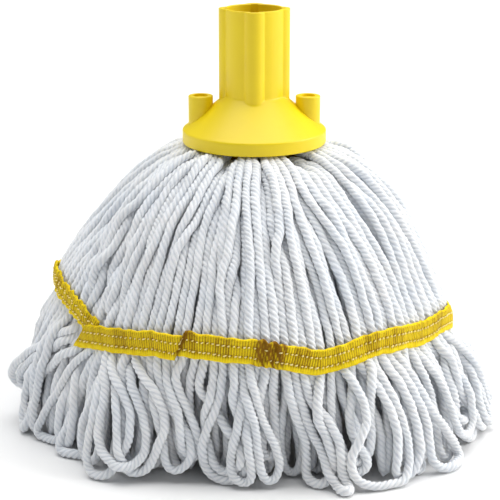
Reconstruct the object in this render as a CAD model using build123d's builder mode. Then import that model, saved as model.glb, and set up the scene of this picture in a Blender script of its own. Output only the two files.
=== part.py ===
"""Socket string mop head: a push-fit plastic socket with a conical flange, a
clamp plate pinned up into it, and a bell of looped cotton yarn held in a ring
by a sewn woven tape.

Frame: millimetres, +Z up along the handle. The origin is on the handle axis,
on the floor that the mop stands on.
"""
from build123d import *
import os
from math import cos, sin, radians, tan

os.makedirs("parts", exist_ok=True)

# ------------------------------------------------------------------ dimensions
# heights above the floor
RIM_Z = 153.0            # underside of the flange's rim
RIM_H = 6.8              # height of the rim's upright wall
CONE_RISE = 18.3         # rim's upper edge up to the tube
TUBE_TOP_Z = RIM_Z + 71.6
POST_TOP_Z = RIM_Z + 24.9

# handle tube
BORE_R = 14.5            # takes a 28.6 mm (1-1/8 in) handle
BORE_DEPTH = 60.0
BORE_FLOOR = 3.0
TUBE_R = 16.0
LOBE_R = 5.5             # rounded outside rib, full width 11
LOBE_REACH = 18.9        # outermost radius of a rib
FOOT_ROUND = 1.0         # hollow round the foot of the ribbed tube
VALLEY_ROUND = 1.2       # hollow between a rib and the tube
GROOVE_W = 4.0           # channel in the bore behind each rib
GROOVE_REACH = 16.3
MOUTH_ROUND = 0.45
MOUTH_CHAMFER = 0.35

# flange
RIM_R = 38.6
RIM_WALL = 2.5
HUB_R = 18.4             # boss that carries the bore's floor

# posts and pins
POST_R = 6.6
POST_BORE_R = 4.0
POST_X = 28.7
PIN_R = 3.9
PIN_HEAD_R = 6.2
PIN_TOP_Z = POST_TOP_Z - 1.1

# clamp plate and the yarn it grips
PLATE_TOP_Z = RIM_Z - 12.0
PLATE_T = 3.2
PLATE_R = 35.0
COLLAR_R = 36.0
HEADBAND_R = 21.0
HEADBAND_T = 1.4

# banding tape
TAPE_R = 104.3           # inside of the tape, on the yarn
TAPE_T = 1.3
TAPE_Z0, TAPE_Z1 = 65.4, 78.6
SEAM_ROWS = (69.35, 74.5)
SEAM_W = 0.7
SEAM_T = 0.35

# yarn bell, as (radius, height) profiles
SKIRT_OUTER = [(COLLAR_R, RIM_Z), (RIM_R, RIM_Z), (55.0, 145.5), (68.0, 137.0), (77.5, 128.0),
               (85.0, 117.0), (90.5, 106.0), (95.5, 95.0), (101.0, 84.5), (TAPE_R, TAPE_Z1), (TAPE_R, 60.5)]
SKIRT_INNER = [(92.4, 60.5), (92.8, 76.0), (87.5, 91.0), (81.5, 103.0), (70.0, 123.0), (52.0, 137.0), (COLLAR_R, 144.5)]
INNER_INSIDE = [(85.0, 0.0), (84.0, 40.0), (82.0, 70.0), (78.0, 84.0), (72.0, 97.0), (61.0, 115.0), (47.0, 130.5),
                (COLLAR_R, PLATE_TOP_Z)]
INNER_FOOT_R = 98.4

# fringe bunches below the tape
HINGE_R = 98.0           # where a bunch bends, along its middle direction
HINGE_Z = 59.5
FRINGE_GROUND = 1.0      # a bunch hangs this far clear of the floor
FRINGE_PROFILE = [(93.2, HINGE_Z), (HINGE_R, HINGE_Z), (107.5, 51.0), (115.5, 43.0), (122.5, 33.5), (128.0, 22.5),
                  (131.0, 12.0), (129.8, 4.5), (126.5, FRINGE_GROUND), (99.2, FRINGE_GROUND)]

SECTOR = 45.0
SECTOR_ARC = 44.3        # leaves 0.7 degrees between two bunches
SECTORS = [("right", 0), ("back_right", 45), ("back", 90), ("back_left", 135),
           ("left", 180), ("front_left", 225), ("front", 270), ("front_right", 315)]


def upright(angle):
    """Plane that holds the Z axis and the radius at this angle, x outwards."""
    a = radians(angle)
    return Plane(origin=(0, 0, 0), x_dir=(cos(a), sin(a), 0), z_dir=(sin(a), -cos(a), 0))


# ---------------------------------------------------------------- socket body
cone_slope = CONE_RISE / (RIM_R - TUBE_R)
cone_top_z = RIM_Z + RIM_H + CONE_RISE
hub_z = TUBE_TOP_Z - BORE_DEPTH - BORE_FLOOR

with BuildPart() as socket_body:
    # flange, hub and tube as one turned shape
    with BuildSketch(upright(0)):
        with BuildLine():
            Polyline([(0, hub_z), (HUB_R, hub_z), (HUB_R, 173.3),
                      (RIM_R - RIM_WALL, RIM_Z + 5.6), (RIM_R - RIM_WALL, RIM_Z),
                      (RIM_R, RIM_Z), (RIM_R, RIM_Z + RIM_H), (TUBE_R, cone_top_z),
                      (TUBE_R, TUBE_TOP_Z), (0, TUBE_TOP_Z)], close=True)
        make_face()
    revolve(axis=Axis.Z)
    rim_edges = (socket_body.edges().filter_by(GeomType.CIRCLE)
                 .filter_by(lambda e: abs(e.radius - RIM_R) < 0.01))
    fillet(rim_edges.sort_by(Axis.Z)[-1], radius=1.3)
    fillet(socket_body.edges().filter_by(GeomType.CIRCLE)
           .filter_by(lambda e: abs(e.radius - RIM_R) < 0.01).sort_by(Axis.Z)[0], radius=0.7)
    # four rounded ribs outside the tube, down onto the cone
    with BuildSketch(Plane.XY.offset(hub_z + 6.0)) as outline:
        Circle(TUBE_R)
        with PolarLocations(LOBE_REACH - LOBE_R, 4, start_angle=0):
            Circle(LOBE_R)
        valleys = outline.vertices().filter_by(
            lambda v: abs((v.X ** 2 + v.Y ** 2) ** 0.5 - TUBE_R) < 0.01
            and min(abs(v.X), abs(v.Y)) > 1.0)
        fillet(valleys, radius=VALLEY_ROUND)
    extrude(amount=TUBE_TOP_Z - hub_z - 6.0)
    # hollow where the ribbed tube meets the cone
    foot = socket_body.edges().filter_by(
        lambda e: cone_top_z - 4.5 < e.center().Z < cone_top_z + 0.3
        and (e.center().X ** 2 + e.center().Y ** 2) ** 0.5 < LOBE_REACH + 0.3
        and (e.center().X ** 2 + e.center().Y ** 2) ** 0.5 > BORE_R)
    foot = foot.filter_by(lambda e: e.bounding_box().size.Z < 5.0)
    fillet(foot, radius=FOOT_ROUND)
    # two hollow posts through the cone, down to the clamp plate
    with BuildSketch(Plane.XY.offset(PLATE_TOP_Z)):
        with Locations((-POST_X, 0), (POST_X, 0)):
            Circle(POST_R)
    extrude(amount=POST_TOP_Z - PLATE_TOP_Z)
    # handle bore with a channel behind each rib
    with BuildSketch(Plane.XY.offset(TUBE_TOP_Z)):
        Circle(BORE_R)
    extrude(amount=-BORE_DEPTH, mode=Mode.SUBTRACT)
    with BuildSketch(Plane.XY.offset(TUBE_TOP_Z)):
        with PolarLocations(GROOVE_REACH / 2, 4, start_angle=0):
            Rectangle(GROOVE_REACH, GROOVE_W)
    extrude(amount=-(BORE_DEPTH - 4.0), mode=Mode.SUBTRACT)
    # bores of the posts
    with BuildSketch(Plane.XY.offset(POST_TOP_Z)):
        with Locations((-POST_X, 0), (POST_X, 0)):
            Circle(POST_BORE_R)
    extrude(amount=-(POST_TOP_Z - PLATE_TOP_Z), mode=Mode.SUBTRACT)
    # softened mouth of the tube and tops of the posts
    top_face = socket_body.faces().sort_by(Axis.Z)[-1]
    fillet(top_face.outer_wire().edges(), radius=MOUTH_ROUND)
    chamfer(socket_body.faces().sort_by(Axis.Z)[-1].inner_wires()[0].edges(), length=MOUTH_CHAMFER)
    for side in (-1, 1):
        post_top = (socket_body.faces().filter_by(Axis.Z)
                    .filter_by(lambda f: abs(f.center().Z - POST_TOP_Z) < 0.01)
                    .sort_by(Axis.X)[0 if side < 0 else -1])
        fillet(post_top.outer_wire().edges(), radius=0.6)
socket_body.part.label = "socket_body"
export_step(socket_body.part, "parts/socket_body.step")

# ---------------------------------------------------------------- clamp plate
with BuildPart() as clamp_plate:
    with BuildSketch(Plane.XY.offset(PLATE_TOP_Z - PLATE_T)):
        Circle(PLATE_R)
        Circle(9.0, mode=Mode.SUBTRACT)
        with Locations((-POST_X, 0), (POST_X, 0)):
            Circle(POST_BORE_R, mode=Mode.SUBTRACT)
    extrude(amount=PLATE_T)
    # stiffening ring and spokes under the plate
    with BuildSketch(Plane.XY.offset(PLATE_TOP_Z - PLATE_T)):
        Circle(20.0)
        Circle(18.0, mode=Mode.SUBTRACT)
    extrude(amount=-3.0)
    with BuildSketch(Plane.XY.offset(PLATE_TOP_Z - PLATE_T)):
        with PolarLocations(14.0, 6, start_angle=30):
            Rectangle(9.0, 1.8)
    extrude(amount=-2.4)
    fillet(clamp_plate.edges().filter_by(GeomType.CIRCLE)
           .filter_by(lambda e: abs(e.radius - PLATE_R) < 0.01), radius=0.9)
clamp_plate.part.label = "clamp_plate"
export_step(clamp_plate.part, "parts/clamp_plate.step")

# ----------------------------------------------------------------- clamp pins
with BuildPart() as clamp_pins:
    with BuildSketch(Plane.XY.offset(PLATE_TOP_Z - PLATE_T - 2.4)):
        with Locations((-POST_X, 0), (POST_X, 0)):
            Circle(PIN_HEAD_R)
    extrude(amount=2.4)
    with BuildSketch(Plane.XY.offset(PLATE_TOP_Z - PLATE_T)):
        with Locations((-POST_X, 0), (POST_X, 0)):
            Circle(PIN_R)
    extrude(amount=PIN_TOP_Z - PLATE_TOP_Z + PLATE_T)
    fillet(clamp_pins.edges().filter_by(GeomType.CIRCLE)
           .filter_by(lambda e: abs(e.center().Z - PIN_TOP_Z) < 0.01), radius=0.9)
clamp_pins.part.label = "clamp_pins"
export_step(clamp_pins.part, "parts/clamp_pins.step")

# ---------------------------------------- sewn top of the yarn, and its headband
with BuildPart() as yarn_collar:
    with BuildSketch(Plane.XY.offset(PLATE_TOP_Z)):
        Circle(COLLAR_R)
        Circle(HEADBAND_R, mode=Mode.SUBTRACT)
        with Locations((-POST_X, 0), (POST_X, 0)):
            Circle(POST_R + 0.25, mode=Mode.SUBTRACT)
    extrude(amount=RIM_Z - PLATE_TOP_Z)
yarn_collar.part.label = "yarn_collar"
export_step(yarn_collar.part, "parts/yarn_collar.step")

with BuildPart() as yarn_headband:
    with BuildSketch(Plane.XY.offset(PLATE_TOP_Z)):
        Circle(HEADBAND_R)
        Circle(HEADBAND_R - HEADBAND_T, mode=Mode.SUBTRACT)
    extrude(amount=RIM_Z - PLATE_TOP_Z)
yarn_headband.part.label = "yarn_headband"
export_step(yarn_headband.part, "parts/yarn_headband.step")

# ------------------------------- inner strands: eight bunches that stand on the floor
with BuildPart() as inner_yarn:
    for _, phi in SECTORS:
        with BuildSketch(upright(phi - SECTOR_ARC / 2)):
            with BuildLine():
                Polyline(INNER_INSIDE + SKIRT_INNER[::-1] + [(INNER_FOOT_R, 0.0)], close=True)
            make_face()
        revolve(axis=Axis.Z, revolution_arc=SECTOR_ARC)
inner_yarn.part.label = "inner_yarn"
export_step(inner_yarn.part, "parts/inner_yarn.step")

# ----------------------------------------- skirt: outer strands, flange to tape
for name, phi in SECTORS:
    with BuildPart() as skirt:
        with BuildSketch(upright(phi - SECTOR_ARC / 2)):
            with BuildLine():
                Polyline(SKIRT_OUTER + SKIRT_INNER, close=True)
            make_face()
        revolve(axis=Axis.Z, revolution_arc=SECTOR_ARC)
    skirt.part.label = "skirt_" + name
    export_step(skirt.part, "parts/skirt_" + name + ".step")

# ------------------------------------ fringe: looped ends of the yarn under the tape
for name, phi in SECTORS:
    with BuildPart() as fringe:
        with BuildSketch(upright(phi - SECTOR_ARC / 2)):
            with BuildLine():
                Polyline(FRINGE_PROFILE, close=True)
            make_face()
        revolve(axis=Axis.Z, revolution_arc=SECTOR_ARC)
    fringe.part.label = "fringe_" + name
    export_step(fringe.part, "parts/fringe_" + name + ".step")

# --------------------------------------------- banding tape and its seam threads
with BuildPart() as banding_tape:
    with BuildSketch(Plane.XY.offset(TAPE_Z0)):
        Circle(TAPE_R + TAPE_T)
        Circle(TAPE_R, mode=Mode.SUBTRACT)
    extrude(amount=TAPE_Z1 - TAPE_Z0)
banding_tape.part.label = "banding_tape"
export_step(banding_tape.part, "parts/banding_tape.step")

with BuildPart() as tape_stitching:
    for row_z in SEAM_ROWS:
        with BuildSketch(Plane.XY.offset(row_z - SEAM_W / 2)):
            Circle(TAPE_R + TAPE_T + SEAM_T)
            Circle(TAPE_R + TAPE_T, mode=Mode.SUBTRACT)
        extrude(amount=SEAM_W)
tape_stitching.part.label = "tape_stitching"
export_step(tape_stitching.part, "parts/tape_stitching.step")
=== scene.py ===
import math
import bpy
import numpy as np
from mathutils import Vector, Matrix


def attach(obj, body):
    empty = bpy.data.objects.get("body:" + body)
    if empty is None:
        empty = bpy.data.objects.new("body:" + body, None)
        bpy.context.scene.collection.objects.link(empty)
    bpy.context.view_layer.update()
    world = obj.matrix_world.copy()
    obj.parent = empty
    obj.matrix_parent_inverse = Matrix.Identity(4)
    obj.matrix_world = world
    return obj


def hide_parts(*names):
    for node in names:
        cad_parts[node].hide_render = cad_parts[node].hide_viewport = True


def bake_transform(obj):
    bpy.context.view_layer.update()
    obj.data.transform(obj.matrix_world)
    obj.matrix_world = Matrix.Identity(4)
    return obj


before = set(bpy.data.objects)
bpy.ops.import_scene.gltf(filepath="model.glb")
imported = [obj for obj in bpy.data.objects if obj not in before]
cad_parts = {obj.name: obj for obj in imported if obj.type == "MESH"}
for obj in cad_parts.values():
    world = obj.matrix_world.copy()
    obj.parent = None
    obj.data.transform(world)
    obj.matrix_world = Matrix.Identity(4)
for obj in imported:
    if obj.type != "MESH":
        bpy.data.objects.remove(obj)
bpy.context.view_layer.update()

# The string mop's looks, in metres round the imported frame. Yarn is laid out and relaxed in millimetres.
MM = 0.001

# ------------------------------------------------------------------ camera
CAM_DIST, CAM_H, CAM_PITCH, CAM_F = 0.848, 0.347, 16.77, 1610.0
cam_data = bpy.data.cameras.new("camera")
cam_data.sensor_width = 36.0
cam_data.lens = CAM_F / 500.0 * 36.0
cam_data.clip_start, cam_data.clip_end = 0.05, 20.0
cam = bpy.data.objects.new("camera", cam_data)
bpy.context.scene.collection.objects.link(cam)
cam.location = (-0.0023, -CAM_DIST, CAM_H)
cam.rotation_euler = (math.radians(90.0 - CAM_PITCH), 0.0, 0.0)
bpy.context.scene.camera = cam

# ------------------------------------------------------------ yarn measures, mm
YARN_R = 2.5           # crown of a ply
PLY_R = 1.38           # one ply
PITCH = 11.2           # length of one turn of the four plies
N_LEGS = 132           # strands through the tape
STEP = 2.6             # spacing of the relaxed points
TAPE_W = 13.2
TAPE_T = 1.25
COLLAR_Z = (150.4, 146.6, 143.0)
INNER_Z = 141.0

# tape's middle line round the bell: angle, outer radius, height
TAPE_LINE = [(0, 108.3, 55.5), (10, 107.2, 51.5), (20, 106.6, 50.5), (35, 106.2, 52.0), (50, 106.0, 55.0), (70, 106.0, 60.0),
             (95, 105.8, 66.0), (120, 106.0, 66.5), (145, 106.5, 67.5), (160, 107.2, 69.5), (170, 108.0, 73.5), (178, 108.6, 78.5), (185, 108.9, 81.5),
             (192, 108.9, 82.0), (199, 108.6, 80.5), (205, 108.2, 77.5), (210, 107.8, 71.0), (214, 107.5, 66.0),
             (219, 107.2, 65.5), (230, 107.0, 68.3), (244, 106.6, 71.2), (256, 106.6, 72.6), (269, 106.7, 71.4),
             (278, 106.8, 68.2), (287, 107.0, 63.8), (296, 107.0, 66.2), (306, 107.0, 68.8), (315, 107.0, 67.8), (323, 107.2, 65.7),
             (329, 107.6, 65.3), (335, 108.1, 65.2), (342, 108.8, 63.4), (350, 109.1, 59.8), (360, 108.3, 55.5)]
# where the lowest loops reach, angle and radius
FOOT_LINE = [(0, 133.5), (20, 131), (45, 129), (70, 130), (90, 128), (110, 130), (135, 130), (155, 131), (180, 130),
             (200, 131), (211, 131), (221, 131), (233, 130), (240, 122), (247, 115), (255, 110), (262, 110),
             (270, 115), (278, 112), (284, 113), (290, 122), (296, 130), (305, 131), (317, 133), (330, 132),
             (345, 133), (360, 133.5)]


def around(line, col):
    a = np.array(line, float)
    t = np.arange(0, 361, 1.0)
    v = np.interp(t, a[:, 0], a[:, col])
    k = np.array([1, 2, 3, 2, 1], float) / 9
    ring = v[:360]
    for _ in range(1):
        ring = sum(w * np.roll(ring, s) for w, s in zip(k, (-2, -1, 0, 1, 2)))
    ring = np.append(ring, ring[0])
    return lambda phi: np.interp(np.mod(phi, 360.0), t, ring)


tape_r, tape_z = around(TAPE_LINE, 1), around(TAPE_LINE, 2)
foot_r = around(FOOT_LINE, 1)

PROFILE = np.array([(34.0, 151.9), (38.9, 151.6), (47.0, 148.0), (56.5, 142.3), (66.0, 135.6), (76.0, 126.8),
                    (84.0, 116.5), (90.5, 105.5), (96.0, 94.5), (101.0, 84.0), (104.5, 76.0), (105.3, 70.0)])
seg = np.hypot(*np.diff(PROFILE, axis=0).T)
PROF_U = np.append(0, np.cumsum(seg)) / seg.sum()
PROF_LEN = seg.sum()


def smooth(t):
    t = np.clip(t, 0, 1)
    return t * t * (3 - 2 * t)


def skirt_point(phi, u, depth):
    """Centre of a strand on the bell above the tape, u from flange (0) to tape (1), depth under the surface."""
    r = np.interp(u, PROF_U, PROFILE[:, 0])
    z = np.interp(u, PROF_U, PROFILE[:, 1])
    e = 0.01
    dr = np.interp(np.minimum(u + e, 1), PROF_U, PROFILE[:, 0]) - np.interp(np.maximum(u - e, 0), PROF_U, PROFILE[:, 0])
    dz = np.interp(np.minimum(u + e, 1), PROF_U, PROFILE[:, 1]) - np.interp(np.maximum(u - e, 0), PROF_U, PROFILE[:, 1])
    ln = np.hypot(dr, dz) + 1e-9
    nr, nz = -dz / ln, dr / ln
    w = smooth((u - 0.45) / 0.55)
    r = r + w * (tape_r(phi) - TAPE_T - 105.3)
    z = z + w * (tape_z(phi) - 70.0)
    r = r - nr * (YARN_R + depth)
    z = z - nz * (YARN_R + depth)
    a = np.radians(phi)
    return np.stack([r * np.cos(a), r * np.sin(a), z], -1)


def fringe_r(phi, z):
    """Radius of the fringe's outer surface."""
    zt = tape_z(phi)
    t = np.clip((zt - z) / (zt - 3.0), 0, 1)
    r0 = tape_r(phi) - TAPE_T
    return r0 + (foot_r(phi) - r0) * np.sin(np.pi / 2 * t) ** 0.92


def polar(phi, r, z):
    a = np.radians(phi)
    return np.stack([r * np.cos(a), r * np.sin(a), np.broadcast_to(z, np.shape(r * np.cos(a)))], -1)


# loops that hang at the front and left, seen from outside: (angle, radius, height) down one leg and up the other
HERO = {
    "a": [(226.5, 109.0, 59.0), (229.3, 110.7, 55.9), (232.9, 113.9, 49.4), (237.5, 116.1, 37.7), (238.0, 118.7, 27.5), (237.9, 120.3, 19.9), (236.0, 123.7, 10.9), (234.2, 126.2, 4.7), (232.4, 127.9, 2.0), (229.9, 128.1, 2.2), (228.7, 128.1, 8.1), (228.1, 127.1, 16.6), (228.2, 123.4, 29.3), (227.7, 118.6, 41.1), (223.1, 111.6, 54.6)],
    "b": [(224.1, 109.2, 58.9), (227.5, 113.0, 51.9), (229.8, 116.2, 45.3), (230.3, 120.6, 36.1), (230.6, 124.3, 25.5), (231.5, 125.9, 18.9), (233.2, 126.5, 14.1), (235.3, 124.3, 11.8), (238.4, 121.3, 10.1), (240.9, 118.2, 12.8), (242.1, 116.3, 20.3), (241.1, 114.6, 32.8), (239.0, 113.4, 42.3), (236.2, 112.2, 49.8), (230.4, 108.4, 60.1)],
    "c": [(233.9, 106.5, 62.7), (238.4, 108.5, 56.5), (242.1, 109.4, 50.1), (244.6, 110.0, 43.1), (245.7, 111.1, 33.2), (245.7, 112.5, 25.6), (244.7, 114.3, 17.8), (243.4, 116.0, 11.4), (241.6, 117.9, 7.0), (239.4, 120.2, 5.8), (237.5, 122.3, 7.9), (236.1, 123.1, 14.5), (235.3, 121.3, 27.1), (233.7, 117.5, 41.2), (229.0, 110.1, 57.2)],
    "d": [(241.5, 105.2, 63.4), (243.1, 106.5, 58.5), (246.0, 108.6, 46.3), (249.2, 108.8, 35.5), (252.1, 108.1, 24.6), (252.6, 108.2, 15.5), (250.9, 109.8, 8.7), (248.2, 111.7, 7.0), (246.5, 112.8, 11.3), (245.8, 113.0, 20.4), (245.0, 111.8, 33.2), (242.3, 110.1, 47.7), (239.8, 106.1, 61.5)],
    "e": [(250.1, 104.2, 63.9), (247.8, 105.9, 57.0), (248.9, 107.0, 49.2), (252.5, 107.0, 36.7), (254.6, 106.4, 24.5), (254.9, 106.6, 18.1), (253.3, 107.7, 13.9), (251.6, 108.9, 16.7), (251.1, 108.9, 23.1), (250.0, 108.6, 33.4), (247.7, 108.4, 43.5), (245.4, 107.3, 53.1), (244.6, 105.1, 62.8)],
    "f": [(256.7, 104.1, 62.5), (254.5, 104.9, 51.3), (258.2, 105.3, 42.0), (262.1, 106.1, 31.0), (265.7, 108.6, 23.7), (267.3, 110.2, 18.0), (266.2, 109.8, 10.8), (262.9, 107.4, 6.1), (259.6, 106.5, 8.6), (257.4, 106.6, 15.4), (256.3, 106.2, 24.2), (256.8, 105.7, 36.5), (259.0, 105.2, 47.4), (259.5, 104.1, 63.5)],
    "g": [(261.2, 104.1, 62.6), (260.1, 104.8, 52.7), (259.0, 105.5, 42.1), (256.8, 106.0, 31.2), (256.0, 106.5, 20.5), (257.1, 106.6, 9.8), (259.8, 106.8, 3.2), (263.5, 107.9, 3.1), (266.2, 109.7, 8.6), (267.3, 110.2, 18.0), (267.0, 109.2, 28.4), (266.2, 107.3, 40.9), (265.1, 105.5, 53.4), (263.9, 104.2, 62.9)],
    "h": [(268.5, 104.7, 62.7), (269.9, 107.3, 50.6), (272.0, 109.2, 37.5), (275.1, 109.9, 24.3), (276.4, 110.1, 15.0), (275.9, 110.4, 7.6), (274.0, 111.1, 4.3), (272.2, 111.8, 7.4), (271.2, 111.8, 15.0), (270.4, 111.1, 26.6), (268.9, 108.9, 39.0), (267.2, 106.5, 50.2), (266.4, 104.5, 63.1)],
    "i": [(270.4, 104.8, 62.3), (268.8, 106.8, 51.4), (267.8, 108.1, 40.3), (268.1, 110.0, 26.1), (268.9, 111.5, 14.9), (269.4, 112.1, 7.6), (268.4, 111.4, 4.0), (266.2, 110.0, 4.3), (264.6, 108.5, 10.1), (265.2, 108.5, 22.6), (266.2, 108.0, 35.9), (265.6, 106.2, 48.4), (263.1, 104.1, 62.8)],
    "j": [(283.3, 104.9, 59.1), (284.5, 106.4, 51.0), (285.6, 108.3, 44.0), (288.1, 112.7, 35.6), (290.7, 117.5, 27.7), (291.2, 120.2, 18.4), (291.3, 121.5, 7.5), (292.0, 125.6, 2.0), (290.3, 128.9, 2.0), (290.1, 121.5, 2.0), (288.8, 117.3, 10.4), (287.2, 113.9, 20.2), (284.7, 109.3, 29.6), (282.2, 107.1, 42.6), (281.3, 104.8, 60.4)],
    "k": [(294.9, 108.3, 59.8), (296.2, 112.2, 53.3), (297.2, 115.8, 46.7), (297.8, 119.8, 38.3), (295.9, 123.3, 29.7), (293.7, 122.8, 22.3), (292.7, 122.9, 14.1), (294.2, 125.7, 7.1), (297.8, 128.7, 2.9), (301.9, 130.2, 2.0), (305.8, 128.9, 4.1), (307.3, 128.5, 11.8), (307.6, 126.6, 21.9), (307.2, 122.6, 33.2), (305.9, 117.0, 44.5), (304.2, 109.6, 57.9)],
    "l": [(308.1, 110.1, 57.5), (309.8, 117.2, 45.3), (310.8, 121.9, 35.9), (310.8, 127.2, 22.3), (310.4, 129.1, 12.8), (308.2, 129.4, 6.1), (305.3, 128.7, 3.2), (303.6, 128.3, 8.5), (304.6, 126.9, 18.3), (305.1, 123.3, 30.3), (304.1, 117.4, 43.3), (300.5, 110.0, 57.4)],
    "m": [(312.2, 110.8, 56.9), (313.9, 117.7, 45.4), (315.9, 123.1, 35.4), (320.5, 129.1, 18.5), (323.6, 131.7, 4.7), (319.7, 134.8, 2.0), (316.6, 134.0, 2.0), (314.4, 130.8, 7.3), (313.6, 129.4, 15.7), (314.1, 126.6, 26.0), (313.7, 121.7, 37.4), (312.6, 115.8, 48.3), (310.3, 110.1, 57.6)],
    "n": [(278.6, 104.9, 59.8), (279.5, 106.4, 48.0), (282.1, 107.9, 34.9), (283.7, 109.1, 21.7), (283.7, 109.5, 9.3), (284.8, 113.1, 2.0), (286.8, 116.7, 2.0), (288.7, 117.4, 7.2), (289.2, 117.3, 18.3), (288.2, 114.0, 29.7), (286.6, 110.3, 39.3), (286.4, 107.9, 50.1), (288.0, 106.9, 56.9)],
    "o": [(322.6, 110.8, 56.7), (323.3, 117.6, 45.2), (324.2, 123.6, 33.2), (324.6, 127.6, 21.7), (326.9, 129.4, 12.9), (331.7, 129.3, 10.7), (334.0, 128.3, 17.1), (333.9, 124.6, 29.6), (333.0, 118.6, 42.7), (328.8, 110.9, 56.4)],
    "p": [(329.5, 110.8, 56.5), (331.9, 116.6, 46.6), (333.1, 122.8, 33.9), (335.7, 128.1, 18.5), (339.4, 130.2, 6.9), (348.1, 131.3, 2.0), (351.5, 130.6, 10.6), (347.7, 126.0, 27.8), (344.4, 118.6, 43.6), (338.6, 110.7, 56.9)],
    "q": [(210.6, 106.0, 60.4), (205.3, 109.9, 58.7), (200.4, 114.9, 53.5), (196.2, 122.1, 46.6), (192.1, 128.9, 39.2), (188.6, 134.0, 31.0), (186.4, 134.5, 24.0), (186.1, 131.9, 18.6), (188.2, 126.3, 19.0), (191.4, 120.9, 24.9), (196.1, 115.2, 34.4), (202.5, 109.9, 46.2), (208.5, 106.8, 55.7)],
    "r": [(211.1, 106.5, 58.5), (205.1, 111.0, 54.0), (199.5, 116.9, 46.8), (195.5, 123.2, 40.4), (191.7, 128.2, 32.6), (189.7, 130.5, 27.0), (189.0, 127.4, 20.4), (191.8, 122.2, 22.9), (195.3, 117.2, 30.5), (200.8, 112.5, 40.9), (208.7, 108.2, 53.8)],
    "s": [(212.3, 106.5, 57.0), (206.2, 110.8, 50.4), (201.1, 116.7, 42.9), (197.2, 121.8, 36.7), (194.3, 125.0, 30.5), (192.5, 124.9, 25.5), (193.5, 120.3, 22.4), (197.1, 115.7, 28.2), (202.0, 112.1, 38.2), (209.2, 108.7, 51.4)],
    "t": [(214.1, 107.1, 57.9), (209.1, 110.9, 51.8), (204.5, 115.6, 44.5), (200.9, 120.3, 37.5), (198.0, 123.1, 29.2), (195.7, 125.9, 19.5), (194.2, 126.4, 10.7), (195.0, 123.6, 5.2), (198.6, 119.2, 11.2), (202.3, 116.2, 21.8), (206.4, 112.6, 36.8), (212.2, 108.9, 53.3)],
    "u": [(217.8, 107.6, 58.5), (214.0, 110.8, 49.2), (210.4, 114.7, 38.7), (207.0, 119.1, 27.0), (204.4, 123.3, 15.5), (203.3, 126.3, 4.7), (203.5, 125.6, 2.0), (206.3, 122.0, 2.0), (209.1, 119.4, 3.5), (210.8, 117.1, 15.8), (213.0, 113.9, 30.8), (217.1, 109.3, 54.0)],
    "v": [(220.8, 107.0, 58.8), (218.7, 108.9, 49.8), (216.8, 111.9, 38.4), (215.4, 115.6, 25.5), (214.1, 119.4, 13.1), (213.7, 122.7, 3.3), (214.7, 123.0, 2.0), (218.1, 119.9, 2.0), (220.6, 116.8, 2.9), (221.4, 115.0, 14.1), (221.0, 112.8, 27.3), (220.8, 110.1, 43.1), (221.8, 106.5, 55.9)],
}


def catmull(P, n):
    """A smooth line through the points P, n samples a span."""
    P = np.asarray(P, float)
    Q = np.vstack([2 * P[0] - P[1], P, 2 * P[-1] - P[-2]])
    t = np.linspace(0, 1, n, endpoint=False)[:, None]
    out = []
    for i in range(1, len(Q) - 2):
        a, b, c, d = Q[i - 1], Q[i], Q[i + 1], Q[i + 2]
        out.append(0.5 * ((2 * b) + (c - a) * t + (2 * a - 5 * b + 4 * c - d) * t ** 2 + (3 * b - a - 3 * c + d) * t ** 3))
    out.append(P[-1][None])
    return np.vstack(out)


def resample(P, step):
    d = np.append(0, np.cumsum(np.linalg.norm(np.diff(P, axis=0), axis=1)))
    n = max(int(round(d[-1] / step)), 4)
    s = np.linspace(0, d[-1], n + 1)
    return np.stack([np.interp(s, d, P[:, k]) for k in range(3)], -1)


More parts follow.
